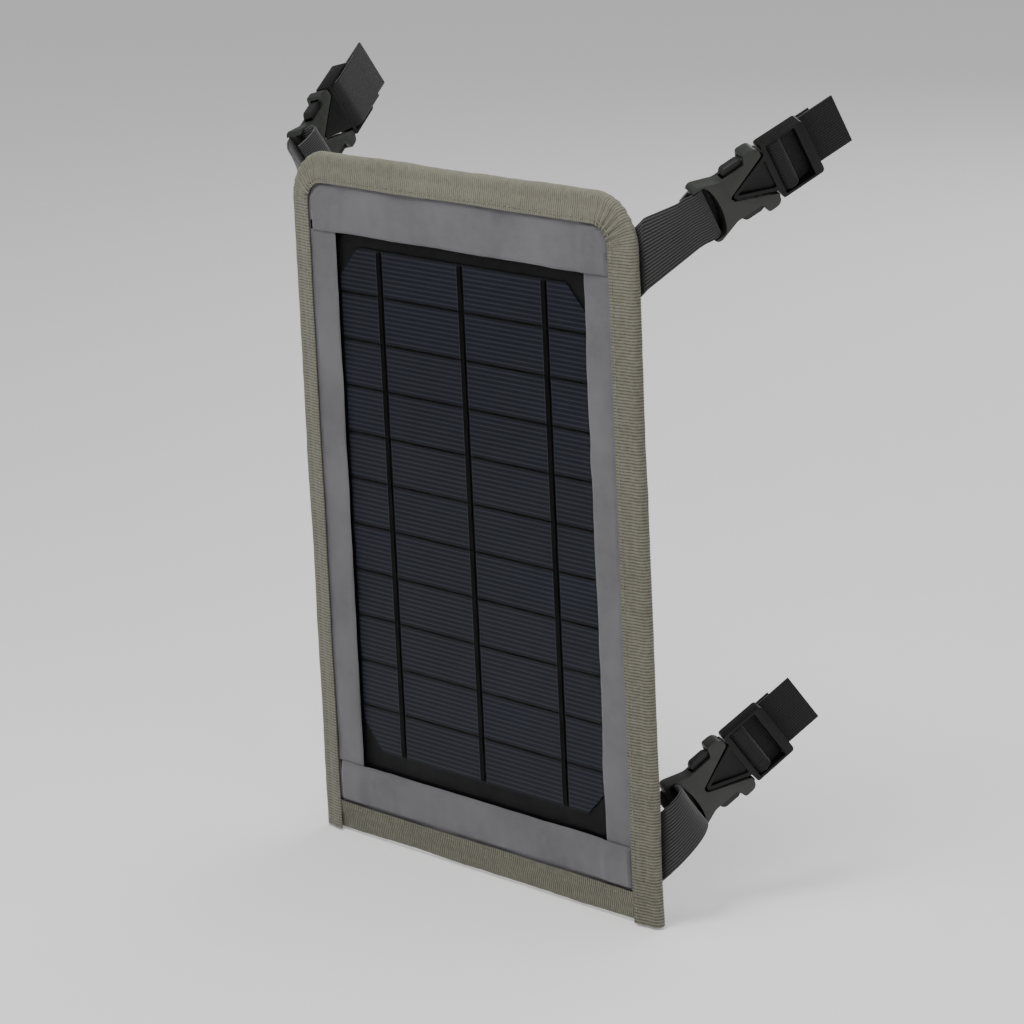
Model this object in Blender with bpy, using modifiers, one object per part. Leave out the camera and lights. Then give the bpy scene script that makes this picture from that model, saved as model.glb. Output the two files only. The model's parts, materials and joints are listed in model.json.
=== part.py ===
"""Fabric-framed solar charging panel with four buckled straps. Metres, +Z up.

The panel stands in the XZ plane and faces -Y. +X is the viewer's right. The origin is on the rear face of
the back cover, behind the centre of the cell array. A corner's buckle is modelled in its own frame: x runs
along the buckle from its webbing slot to the far end of the male half, y across its width, and z out of its
front.
"""

import math

import bmesh
import bpy
from mathutils import Matrix, Vector

# Cells: eleven strips cut from a 156 mm wafer, in series from top to bottom
CELL_W = 0.156
CELL_COUNT = 11
CELL_PITCH = 0.0199
CELL_GAP = 0.0004
CELL_CHAMFER = 0.0126
RIBBON_PLACES = {"left": -1 / 3, "centre": 0.0, "right": 1 / 3}
RIBBON_W = 0.0026
RIBBON_T = 0.00012

# Depths from the back cover's rear face (Y = 0) towards the viewer: each layer is (front, rear)
STRIP_Y = (-0.0061, -0.0053)
FILM_Y = (-0.0050, -0.0046)
CELL_Y = (-0.0039, -0.0036)
BOARD_Y = (-0.0033, -0.0022)
PAD_Y = (-0.0019, -0.0009)
COVER_Y = (-0.0006, 0.0)
BINDING_Y = (-0.0069, 0.0008)
TAPE_T = 0.0005

# Outline of the whole panel and of the window in its fabric frame
PANEL_X = 0.107
PANEL_TOP = 0.1475
PANEL_BOTTOM = -0.148
CORNER_R = 0.022
WINDOW_X = (-0.0787, 0.0780)
WINDOW_Z = (-0.117, 0.1145)
BINDING_W = 0.0125
SEAM_INSET = 0.0025
LAMINATE_X = 0.086
LAMINATE_Z = (-0.1265, 0.1235)
PAD_MARGIN = 0.003
GAP = 0.0003

# Junction box on the back cover
BOX_C = Vector((0.0, 0.0, 0.088))
BOX_SIZE = (0.062, 0.036)
BOX_WALL = 0.0016
BOX_DEPTH = 0.0096
BOX_R = 0.004
LID_T = 0.0016
GASKET_T = 0.0006
SCREW_X = 0.0262
BOSS_R = 0.0030
SCREW_R = 0.0010
SCREW_HEAD_R = 0.0019
SCREW_HOLE_R = 0.0012
SCREW_HOLE_DEPTH = 0.0075
RECESS_R = 0.0023
RECESS_DEPTH = 0.0009
PAST = 0.001  # how far a cutting tool reaches past a face
USB_X = -0.012
USB_W = 0.0131
USB_H = 0.0057
USB_WALL = 0.0004
USB_DEPTH = 0.0140
TONGUE_W = 0.0110
TONGUE_T = 0.0018
TONGUE_Y = 0.0003
LED_X = 0.012
LED_R = 0.0015
PCB_T = 0.0012
INDUCTOR_R = 0.0042
INDUCTOR_T = 0.0040
INDUCTOR_X = 0.0150
LEAD_SIZE = (0.0034, 0.0016)

# Webbing and side-release buckle, in the buckle's own frame
WEB_W = 0.0225
WEB_T = 0.0012
SLOT_HALF = 0.0117
FEMALE_T = 0.0074
MALE_T = 0.0068
CAVITY_T = 0.0046
CAVITY_HALF = 0.0130
CAVITY_X = (0.0136, 0.0350)
PRONG_T = 0.0040
PRONG_PIVOT = Vector((0.0306, 0.0112, 0.0))
BAR_HALF_T = 0.0012
BAR_END = 0.0026
BAR_TURN = 0.0027
ARCH_X = 0.0044
ARCH_DEPTH = 0.0036
LADDER_SLOTS = ((0.0342, 0.0367), (0.0399, 0.0478))
MID_BAR_X = 0.0383
MID_BAR_TURN = 0.0029
MALE_END = 0.0518
TAIL_END = 0.0680

# Corners: point on the panel's edge where the strap folds, place of the buckle's slot end, and the
# buckle's yaw, elevation and roll in degrees. The left side mirrors the right.
FOLD_X = PANEL_X + 0.0012
CORNERS = {
    "top": (Vector((FOLD_X, 0.0, 0.1240)), Vector((0.1228, 0.0161, 0.1386)), (66.1, 28.1, -15.2)),
    "bottom": (Vector((FOLD_X, 0.0, -0.1130)), Vector((0.1001, 0.0135, -0.1042)), (65.0, 35.8, -5.5)),
}
# Webbing between the fold and the buckle: direction it leaves in, and how far it keeps each end's direction
FOLD_LEAN = {"top": Vector((0.60, 0.62, 0.50)), "bottom": Vector((0.75, 0.25, 0.60))}
FOLD_REACH = {"top": 0.006, "bottom": 0.005}
SLOT_REACH = {"top": 0.006, "bottom": 0.008}
EDGE_LEAN = 38


# --- Scene helpers -------------------------------------------------------------------------------------
for old in list(bpy.data.objects):
    bpy.data.objects.remove(old, do_unlink=True)

parts = bpy.data.collections.new("solar_panel")
cutters = bpy.data.collections.new("cutters")
bpy.context.scene.collection.children.link(parts)
bpy.context.scene.collection.children.link(cutters)


def material(name, colour, roughness, metallic=0.0):
    mat = bpy.data.materials.new(name)
    mat.use_nodes = True
    shader = mat.node_tree.nodes["Principled BSDF"]
    shader.inputs["Base Color"].default_value = (*colour, 1.0)
    shader.inputs["Roughness"].default_value = roughness
    shader.inputs["Metallic"].default_value = metallic
    return mat


FABRIC = ((0.20, 0.19, 0.21), 0.7)
TAPE = ((0.24, 0.235, 0.20), 0.85)
WEBBING = ((0.02, 0.02, 0.022), 0.8)
GREY_PLASTIC = ((0.08, 0.095, 0.092), 0.45)
BLACK_PLASTIC = ((0.015, 0.015, 0.016), 0.4)
CELL = ((0.012, 0.016, 0.035), 0.25)
COPPER = ((0.55, 0.55, 0.52), 0.35, 1.0)
STEEL = ((0.6, 0.6, 0.6), 0.3, 1.0)


def add_part(name, mesh, look, place=None, pivot=None, smooth=False):
    """Adds a node at a place, parented to an empty on its joint's axis where it has one."""
    obj = bpy.data.objects.new(name, mesh)
    parts.objects.link(obj)
    obj.data.materials.clear()
    obj.data.materials.append(material(name, *look))
    if pivot is not None:
        obj.parent = pivot
        obj.matrix_parent_inverse = pivot.matrix_basis.inverted()
    obj.matrix_basis = place if place is not None else Matrix.Identity(4)
    if smooth:
        mesh.shade_smooth()
        mesh.set_sharp_from_angle(angle=math.radians(35))
    return obj


def add_pivot(name, place):
    pivot = bpy.data.objects.new(name, None)
    pivot.empty_display_size = 0.01
    parts.objects.link(pivot)
    pivot.matrix_basis = place
    return pivot


def baked(obj):
    """The object's evaluated mesh, welded, as new mesh data. The object is removed."""
    graph = bpy.context.evaluated_depsgraph_get()
    mesh = bpy.data.meshes.new_from_object(obj.evaluated_get(graph))
    bm = bmesh.new()
    bm.from_mesh(mesh)
    bmesh.ops.remove_doubles(bm, verts=bm.verts, dist=1e-6)
    bmesh.ops.recalc_face_normals(bm, faces=bm.faces)
    bm.to_mesh(mesh)
    bm.free()
    bpy.data.objects.remove(obj, do_unlink=True)
    return mesh


def rounded(corners, steps=4):
    """Points of a closed outline from (x, y, radius) corners, each corner turned by an arc."""
    points = []
    for i, (x, y, radius) in enumerate(corners):
        here = Vector((x, y))
        before = Vector(corners[i - 1][:2]) - here
        after = Vector(corners[(i + 1) % len(corners)][:2]) - here
        half = before.angle(after) / 2
        if radius < 1e-6 or half > math.radians(88):
            points.append(here)
            continue
        reach = radius / math.tan(half)
        centre = here + (before.normalized() + after.normalized()).normalized() * radius / math.sin(half)
        start = here + before.normalized() * reach - centre
        end = here + after.normalized() * reach - centre
        sweep = start.angle_signed(end)
        for k in range(steps + 1):
            turn = Matrix.Rotation(-sweep * k / steps, 2)
            points.append(centre + turn @ start)
    return points


def plate_mesh(outline, thickness, holes=()):
    """A flat plate in the local XY plane, centred on z = 0, from an outline and its holes."""
    curve = bpy.data.curves.new("outline", "CURVE")
    curve.dimensions = "2D"
    curve.fill_mode = "BOTH"
    curve.extrude = thickness / 2
    for loop in (outline, *holes):
        spline = curve.splines.new("POLY")
        spline.points.add(len(loop) - 1)
        for point, co in zip(spline.points, loop):
            point.co = (co[0], co[1], 0.0, 1.0)
        spline.use_cyclic_u = True
    obj = bpy.data.objects.new("outline", curve)
    parts.objects.link(obj)
    return baked(obj)


def box_outline(x0, x1, y0, y1, radius=0.0):
    return rounded([(x0, y0, radius), (x1, y0, radius), (x1, y1, radius), (x0, y1, radius)])


def cut(mesh, cutter_meshes):
    """The mesh with every cutter taken out of it."""
    obj = bpy.data.objects.new("to_cut", mesh)
    parts.objects.link(obj)
    tools = []
    for i, cutter_mesh in enumerate(cutter_meshes):
        tool = bpy.data.objects.new(f"cutter_{i}", cutter_mesh)
        cutters.objects.link(tool)
        tool.hide_render = True
        tool.display_type = "WIRE"
        boolean = obj.modifiers.new(f"cut_{i}", "BOOLEAN")
        boolean.operation = "DIFFERENCE"
        boolean.object = tool
        tools.append(tool)
    result = baked(obj)
    for tool in tools:
        bpy.data.objects.remove(tool, do_unlink=True)
    return result


def block_mesh(low, high):
    """A box between two corners."""
    low, high = Vector(low), Vector(high)
    mesh = bpy.data.meshes.new("block")
    bm = bmesh.new()
    bmesh.ops.create_cube(bm, size=1.0)
    bmesh.ops.scale(bm, vec=high - low, verts=bm.verts)
    bmesh.ops.translate(bm, vec=(low + high) / 2, verts=bm.verts)
    bm.to_mesh(mesh)
    bm.free()
    return mesh


def rod_mesh(radius, length, centre, axis="Z", segments=16):
    """A cylinder of a length about a centre, along an axis."""
    mesh = bpy.data.meshes.new("rod")
    turn = {"Z": Matrix.Identity(4), "Y": Matrix.Rotation(math.pi / 2, 4, "X")}[axis]
    bm = bmesh.new()
    bmesh.ops.create_cone(
        bm, cap_ends=True, segments=segments, radius1=radius, radius2=radius, depth=length,
        matrix=Matrix.Translation(centre) @ turn,
    )
    bm.to_mesh(mesh)
    bm.free()
    return mesh


def upright(y_range):
    """Places a plate drawn in XY as a layer in the XZ plane that fills a depth range."""
    middle = (y_range[0] + y_range[1]) / 2
    return Matrix.Translation((0.0, middle, 0.0)) @ Matrix.Rotation(math.pi / 2, 4, "X")


def layer(name, outline, y_range, look, holes=()):
    return add_part(name, plate_mesh(outline, y_range[1] - y_range[0], holes), look, upright(y_range))


def solidified(surface, thickness):
    """Closed solid about an open surface."""
    obj = bpy.data.objects.new("surface", surface)
    parts.objects.link(obj)
    solid = obj.modifiers.new("thickness", "SOLIDIFY")
    solid.thickness = thickness
    solid.offset = 0.0
    return baked(obj)


def grid_surface(rows):
    """Open surface through rows of points that all have the same count."""
    bm = bmesh.new()
    grid = [[bm.verts.new(point) for point in row] for row in rows]
    for first, second in zip(grid, grid[1:]):
        for i in range(len(first) - 1):
            bm.faces.new((first[i], first[i + 1], second[i + 1], second[i]))
    mesh = bpy.data.meshes.new("surface")
    bm.to_mesh(mesh)
    bm.free()
    return mesh


# --- Photovoltaic laminate -----------------------------------------------------------------------------
def cell_centre_z(row):
    return ((CELL_COUNT - 1) / 2 - row) * CELL_PITCH


def make_cells():
    half_w = CELL_W / 2
    half_h = (CELL_PITCH - CELL_GAP) / 2
    for row in range(CELL_COUNT):
        mid = cell_centre_z(row)
        low, high = mid - half_h, mid + half_h
        top_cut = CELL_CHAMFER if row == 0 else 0.0
        low_cut = CELL_CHAMFER if row == CELL_COUNT - 1 else 0.0
        outline = []
        for sign, end in ((-1, "low"), (1, "low"), (1, "high"), (-1, "high")):
            z, chamfer = (low, low_cut) if end == "low" else (high, top_cut)
            inward = chamfer if end == "low" else -chamfer
            on_edge = (sign * (half_w - chamfer), z)
            on_side = (sign * half_w, z + inward)
            corner = [on_edge, on_side] if chamfer else [on_edge]
            if (sign < 0) == (end == "low"):
                corner.reverse()
            outline += corner
        layer(f"cell_{row + 1:02d}", outline, CELL_Y, CELL)


def make_ribbons():
    """Three flat ribbons down the fronts of all the cells."""
    depth = (CELL_Y[0] - GAP - RIBBON_T, CELL_Y[0] - GAP)
    reach = cell_centre_z(0) + CELL_PITCH * 0.44
    for label, place in RIBBON_PLACES.items():
        x = place * CELL_W
        outline = box_outline(x - RIBBON_W / 2, x + RIBBON_W / 2, -reach, reach)
        layer(f"bus_ribbon_{label}", outline, depth, COPPER)


def lead_hole():
    """Outline of the slot that the twin lead passes through."""
    half_x = LEAD_SIZE[0] / 2 + GAP
    half_z = LEAD_SIZE[1] / 2 + GAP
    return box_outline(-half_x, half_x, BOX_C.z - half_z, BOX_C.z + half_z, LEAD_SIZE[1] / 2)


def make_laminate():
    outline = box_outline(-LAMINATE_X, LAMINATE_X, *LAMINATE_Z, 0.003)
    layer("front_film", outline, FILM_Y, ((0.8, 0.85, 0.9), 0.2))
    layer("back_board", outline, BOARD_Y, ((0.01, 0.01, 0.012), 0.5), [lead_hole()])
    pad = box_outline(
        -LAMINATE_X - PAD_MARGIN, LAMINATE_X + PAD_MARGIN,
        LAMINATE_Z[0] - PAD_MARGIN, LAMINATE_Z[1] + PAD_MARGIN, 0.004
    )
    layer("foam_pad", pad, PAD_Y, ((0.05, 0.05, 0.055), 0.95), [lead_hole()])
    make_cells()
    make_ribbons()


# --- Fabric frame --------------------------------------------------------------------------------------
def make_frame():
    """Four strips round the window, and the back cover. They end inside the binding."""
    x = PANEL_X - SEAM_INSET
    top = PANEL_TOP - SEAM_INSET
    bottom = PANEL_BOTTOM + SEAM_INSET
    corner = CORNER_R - SEAM_INSET
    square = 0.0005
    w0, w1 = WINDOW_X
    z0, z1 = WINDOW_Z
    layer("frame_strip_bottom", box_outline(-x, x, bottom, z0, square), STRIP_Y, FABRIC)
    top_outline = rounded([(-x, z1, square), (x, z1, square), (x, top, corner), (-x, top, corner)], 6)
    layer("frame_strip_top", top_outline, STRIP_Y, FABRIC)
    layer("frame_strip_left", box_outline(-x, w0, z0 + GAP, z1 - GAP, square), STRIP_Y, FABRIC)
    layer("frame_strip_right", box_outline(w1, x, z0 + GAP, z1 - GAP, square), STRIP_Y, FABRIC)
    cover = rounded([(-x, bottom, square), (x, bottom, square), (x, top, corner), (-x, top, corner)], 6)
    layer("back_cover", cover, COVER_Y, FABRIC, [lead_hole()])


def channel_rows(path):
    """Rows of the folded tape's section at each (point, outward direction) of a path round the edge."""
    front = BINDING_Y[0] + TAPE_T / 2
    rear = BINDING_Y[1] - TAPE_T / 2
    rows = []
    for point, outward in path:
        inner = point - outward * BINDING_W
        outer = point - outward * TAPE_T / 2
        rows.append([
            (inner.x, front, inner.y), (outer.x, front, outer.y),
            (outer.x, rear, outer.y), (inner.x, rear, inner.y)
        ])
    return rows


def make_bindings():
    corner_x = PANEL_X - CORNER_R
    corner_z = PANEL_TOP - CORNER_R
    steps = 6
    path = [(Vector((PANEL_X, PANEL_BOTTOM)), Vector((1, 0)))]
    for side in (1, -1):
        centre = Vector((side * corner_x, corner_z))
        for k in range(steps + 1):
            angle = math.pi / 2 * (k / steps if side > 0 else 1 + k / steps)
            outward = Vector((math.cos(angle), math.sin(angle)))
            path.append((centre + outward * CORNER_R, outward))
    path.append((Vector((-PANEL_X, PANEL_BOTTOM)), Vector((-1, 0))))
    add_part("binding_main", solidified(grid_surface(channel_rows(path)), TAPE_T), TAPE)
    end_x = PANEL_X - BINDING_W - GAP
    low = [(Vector((s * end_x, PANEL_BOTTOM)), Vector((0, -1))) for s in (-1, 1)]
    add_part("binding_bottom", solidified(grid_surface(channel_rows(low)), TAPE_T), TAPE)


# --- Junction box --------------------------------------------------------------------------------------
def box_layer_mesh(half_x, half_z, y0, y1, radius, holes=()):
    """A plate of the junction box in world coordinates, between two depths behind the cover."""
    outline = box_outline(BOX_C.x - half_x, BOX_C.x + half_x, BOX_C.z - half_z, BOX_C.z + half_z, radius)
    mesh = plate_mesh(outline, y1 - y0, holes)
    mesh.transform(upright((y0, y1)))
    return mesh


def screw_places():
    sides = (("left", -1), ("right", 1))
    return {label: Vector((BOX_C.x + side * SCREW_X, 0.0, BOX_C.z)) for label, side in sides}


def circle_hole(centre, radius, count=16):
    angles = [k * math.tau / count for k in range(count)]
    return [(centre.x + radius * math.cos(a), centre.z + radius * math.sin(a)) for a in angles]


def make_junction_box():
    half_x, half_z = BOX_SIZE[0] / 2, BOX_SIZE[1] / 2
    floor = GAP
    rim = floor + BOX_DEPTH
    lid0 = rim + GASKET_T + 2 * GAP / 3
    usb_y = floor + 0.0016 + PCB_T + 0.0002 + USB_H / 2 + GAP
    low_wall = BOX_C.z - half_z

    base = box_layer_mesh(half_x, half_z, floor, rim, BOX_R)
    inner_x, inner_z = half_x - BOX_WALL, half_z - BOX_WALL
    hollow = box_layer_mesh(inner_x, inner_z, floor + BOX_WALL, rim + PAST, BOX_R - BOX_WALL)
    places = list(screw_places().values())
    boss_y = Vector((0, floor + BOX_DEPTH / 2 + BOX_WALL, 0))
    hollow = cut(hollow, [rod_mesh(BOSS_R, BOX_DEPTH, place + boss_y, "Y") for place in places])
    hole_y = Vector((0, rim + PAST - SCREW_HOLE_DEPTH / 2, 0))
    holes = [rod_mesh(SCREW_HOLE_R, SCREW_HOLE_DEPTH, place + hole_y, "Y") for place in places]
    lead_slot = plate_mesh(lead_hole(), 0.006)
    lead_slot.transform(upright((floor - 0.003, floor + 0.003)))
    usb_hole = block_mesh(
        (USB_X - USB_W / 2 - GAP, usb_y - USB_H / 2 - GAP, low_wall - 0.002),
        (USB_X + USB_W / 2 + GAP, usb_y + USB_H / 2 + GAP, low_wall + BOX_WALL + 0.002),
    )
    led_hole = rod_mesh(LED_R + GAP, 0.006, (LED_X, usb_y, low_wall), "Z")
    base = cut(base, [hollow, *holes, lead_slot, usb_hole, led_hole])
    add_part("junction_box_base", base, BLACK_PLASTIC, smooth=True)

    ring_hole = box_outline(
        BOX_C.x - inner_x, BOX_C.x + inner_x, BOX_C.z - inner_z, BOX_C.z + inner_z, BOX_R - BOX_WALL
    )
    gasket0 = rim + GAP / 3
    gasket = box_layer_mesh(half_x - GAP, half_z - GAP, gasket0, gasket0 + GASKET_T, BOX_R, [ring_hole])
    add_part("junction_box_gasket", gasket, ((0.05, 0.05, 0.05), 0.9))
    screw_holes = [circle_hole(place, SCREW_HOLE_R) for place in places]
    lid = box_layer_mesh(half_x, half_z, lid0, lid0 + LID_T, BOX_R, screw_holes)
    recess_y = Vector((0, lid0 + LID_T - RECESS_DEPTH + PAST, 0))
    recess = [rod_mesh(RECESS_R, 2 * PAST, place + recess_y, "Y") for place in places]
    add_part("junction_box_lid", cut(lid, recess), BLACK_PLASTIC)
    for label, place in screw_places().items():
        screw = screw_mesh(place, lid0 + LID_T - RECESS_DEPTH + GAP / 2)
        add_part(f"junction_box_screw_{label}", screw, STEEL, smooth=True)

    pcb0 = floor + BOX_WALL + GAP
    pcb_half_x = SCREW_X - BOSS_R - 0.001
    pcb = box_layer_mesh(pcb_half_x, half_z - BOX_WALL - 0.0012, pcb0, pcb0 + PCB_T, 0.0008, [lead_hole()])
    add_part("regulator_board", pcb, ((0.02, 0.10, 0.05), 0.5))
    top = pcb0 + PCB_T + GAP / 2
    inductor = rod_mesh(INDUCTOR_R, INDUCTOR_T, (INDUCTOR_X, top + INDUCTOR_T / 2, BOX_C.z + INDUCTOR_R), "Y")
    add_part("regulator_inductor", inductor, ((0.03, 0.03, 0.035), 0.4), smooth=True)

    shell_outer = (USB_W / 2, USB_H / 2)
    shell_z = (low_wall + 0.0006, low_wall + 0.0006 + USB_DEPTH)
    shell = block_mesh(
        (USB_X - shell_outer[0], usb_y - shell_outer[1], shell_z[0]),
        (USB_X + shell_outer[0], usb_y + shell_outer[1], shell_z[1]),
    )
    bore = block_mesh(
        (USB_X - shell_outer[0] + USB_WALL, usb_y - shell_outer[1] + USB_WALL, shell_z[0] - 0.001),
        (USB_X + shell_outer[0] - USB_WALL, usb_y + shell_outer[1] - USB_WALL, shell_z[1] - 0.0012),
    )
    add_part("usb_socket_shell", cut(shell, [bore]), STEEL)
    tongue = block_mesh(
        (USB_X - TONGUE_W / 2, usb_y + TONGUE_Y, shell_z[0] + 0.0012),
        (USB_X + TONGUE_W / 2, usb_y + TONGUE_Y + TONGUE_T, shell_z[1] - 0.0015),
    )
    add_part("usb_socket_tongue", tongue, ((0.85, 0.85, 0.82), 0.5))
    lens = rod_mesh(LED_R, 0.0045, (LED_X, usb_y, low_wall + 0.0023), "Z")
    add_part("charge_light_lens", lens, ((0.7, 0.1, 0.08), 0.2), smooth=True)
    make_lead(pcb0 + PCB_T)


def screw_mesh(place, head_y):
    """A pan-head screw along Y whose head sits on the lid: a turned profile."""
    profile = [
        (0.0, 0.0013), (0.0014, 0.0011), (SCREW_HEAD_R, 0.0005), (SCREW_HEAD_R, 0.0),
        (SCREW_R, 0.0), (SCREW_R, -0.0052), (0.0, -0.0060),
    ]
    mesh = bpy.data.meshes.new("profile")
    bm = bmesh.new()
    verts = [bm.verts.new((r, 0.0, z)) for r, z in profile]
    for first, second in zip(verts, verts[1:]):
        bm.edges.new((first, second))
    bm.to_mesh(mesh)
    bm.free()
    obj = bpy.data.objects.new("profile", mesh)
    parts.objects.link(obj)
    turn = obj.modifiers.new("turn", "SCREW")
    turn.steps = 12
    turn.render_steps = 12
    turn.use_merge_vertices = True
    turn.merge_threshold = 1e-5
    turned = baked(obj)
    turned.transform(Matrix.Translation((place.x, head_y, place.z)) @ Matrix.Rotation(-math.pi / 2, 4, "X"))
    return turned


def make_lead(board_y):
    """The flat twin lead from behind the cells, through board, pad and cover, to the regulator board."""
    half_x, half_z = (v / 2 for v in LEAD_SIZE)
    outline = box_outline(-half_x, half_x, BOX_C.z - half_z, BOX_C.z + half_z, half_z * 0.95)
    layer("cell_lead", outline, (BOARD_Y[0] + GAP, board_y + 0.0016), ((0.03, 0.03, 0.03), 0.6))


# --- Buckles and webbing -------------------------------------------------------------------------------
def mirrored_corners(half):
    """A closed outline, symmetric about y = 0, from its corners at y > 0 and on the axis."""
    lower = [(x, -y, r) for x, y, r in reversed(half) if abs(y) > 1e-9]
    return half + lower


def female_mesh():
    half = [
        (0.0, 0.0142, 0.0025), (0.0118, 0.0096, 0.006), (0.0232, 0.0098, 0.001), (0.0246, 0.0142, 0.0014),
        (0.0314, 0.0140, 0.0030), (0.0310, 0.0094, 0.0012), (0.0109, 0.0, 0.0016),
    ]
    arch = [
        (ARCH_X + ARCH_DEPTH * math.cos(t), SLOT_HALF * math.sin(t))
        for t in [math.pi * (k / 12 - 0.5) for k in range(13)]
    ]
    slot = [(BAR_END, -SLOT_HALF)] + arch + [(BAR_END, SLOT_HALF)]
    body = plate_mesh(rounded(mirrored_corners(half)), FEMALE_T, [slot])
    reach = FEMALE_T / 2 + PAST
    low_corner = (CAVITY_X[0], -CAVITY_HALF, -CAVITY_T / 2)
    cavity = block_mesh(low_corner, (CAVITY_X[1], CAVITY_HALF, CAVITY_T / 2))
    thin = [
        block_mesh((-PAST, -SLOT_HALF, low), (BAR_END + 0.0004, SLOT_HALF, high))
        for low, high in ((-reach, -BAR_HALF_T), (BAR_HALF_T, reach))
    ]
    return cut(body, [cavity, *thin])


def male_mesh():
    half = [
        (0.0123, 0.0, 0.0014), (0.0314, 0.0083, 0.0004), (0.0321, 0.0085, 0.0002), (0.0322, 0.0128, 0.0012),
        (MALE_END, 0.0126, 0.0016),
    ]
    outline = rounded([half[0], *half[1:], *[(x, -y, r) for x, y, r in reversed(half[1:])]][::-1])
    windows = [box_outline(x0, x1, -SLOT_HALF, SLOT_HALF, 0.0005) for x0, x1 in LADDER_SLOTS]
    body = plate_mesh(outline, MALE_T, windows)
    reach = MALE_T / 2 + PAST
    bar_start = LADDER_SLOTS[0][1] - 0.0004
    cuts = [
        block_mesh((bar_start, -SLOT_HALF, BAR_HALF_T), (LADDER_SLOTS[1][0] + 0.0004, SLOT_HALF, reach)),
        block_mesh((bar_start, -SLOT_HALF, -reach), (MALE_END + PAST, SLOT_HALF, -BAR_HALF_T)),
    ]
    return cut(body, cuts)


def prong_mesh(side):
    """One flexing prong with its thumb knob, about its own hinge."""
    outline = rounded([
        (0.0318, 0.0100, 0.0010), (0.0318, 0.0124, 0.0010), (0.0236, 0.0121, 0.0010),
        (0.0224, 0.0127, 0.0006), (0.0156, 0.0127, 0.0020), (0.0139, 0.0107, 0.0010),
        (0.0151, 0.0094, 0.0006), (0.0205, 0.0096, 0.0010),
    ])
    shifted = [(p.x - PRONG_PIVOT.x, side * (p.y - PRONG_PIVOT.y)) for p in outline]
    return plate_mesh(shifted, PRONG_T)


def arc_points(centre, radius, start, end, steps):
    angles = [math.radians(start + (end - start) * k / steps) for k in range(steps + 1)]
    return [Vector((centre[0] + radius * math.cos(t), 0.0, centre[1] + radius * math.sin(t))) for t in angles]


def buckle_axes(yaw, elevation, roll):
    """Axes of a buckle: along it, across it, and out of its front."""
    yaw, elevation, roll = (math.radians(v) for v in (yaw, elevation, roll))
    level_x, level_y = math.cos(yaw), math.sin(yaw)
    along = Vector((level_x * math.cos(elevation), level_y * math.cos(elevation), math.sin(elevation)))
    level = Vector((math.sin(yaw), -math.cos(yaw), 0.0))
    out = math.cos(roll) * level + math.sin(roll) * level.cross(along)
    return along, out.cross(along), out


def bezier(p0, p1, p2, p3, t):
    s = 1 - t
    return s ** 3 * p0 + 3 * s * s * t * p1 + 3 * s * t * t * p2 + t ** 3 * p3


def strap_rows(end, fold, frame):
    """Edge points of the webbing from the panel's edge, over the buckle's bar and a short way back."""
    along = frame.col[0].to_3d()
    across = frame.col[1].to_3d()
    bar = (BAR_END / 2, 0.0)
    if end == "top":
        before = [Vector((-0.0050, 0.0, 0.0010)), Vector((-0.0022, 0.0, 0.0018))]
        after = [Vector((-0.0022, 0.0, -0.0016)), Vector((-0.0050, 0.0, -0.0010))]
        local = [*before, *arc_points(bar, BAR_TURN, 100, -100, 8), *after]
        arriving = along
    else:
        before = [Vector((0.0047, 0.0, 0.0050)), Vector((0.0041, 0.0, 0.0022))]
        local = [*before, *arc_points(bar, BAR_TURN, 0, -165, 7)]
        arriving = -frame.col[2].to_3d()
    world = [frame @ p for p in local]
    start = world[0]
    lean = FOLD_LEAN[end].normalized()
    steps = 7
    rows = []
    edge_half = Vector((0, 0, WEB_W / 2 / math.cos(math.radians(EDGE_LEAN))))
    for k in range(steps):
        t = k / steps
        point = bezier(fold, fold + lean * FOLD_REACH[end], start - arriving * SLOT_REACH[end], start, t)
        half = edge_half.lerp(across * WEB_W / 2, t * t * (3 - 2 * t))
        rows.append((point - half, point + half))
    for point in world:
        rows.append((point - across * WEB_W / 2, point + across * WEB_W / 2))
    return rows


def tail_rows(frame):
    """Edge points of the pack-side webbing: under the end bar, round the middle bar and back again."""
    across = frame.col[1].to_3d() * WEB_W / 2
    low = -0.0020
    local = [Vector((TAIL_END, 0, low)), Vector((MALE_END + PAST, 0, low)), Vector((0.0470, 0, -0.0018))]
    local += arc_points((MID_BAR_X, 0.0), MID_BAR_TURN, -8, 235, 9)
    local += [Vector((0.0391, 0, -0.0034)), Vector((0.0450, 0, -0.0037)), Vector((0.0560, 0, -0.0037))]
    return [(frame @ p - across, frame @ p + across) for p in local]


def mirror_row(row, side):
    return [(side * p.x, p.y, p.z) for p in row]


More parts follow.
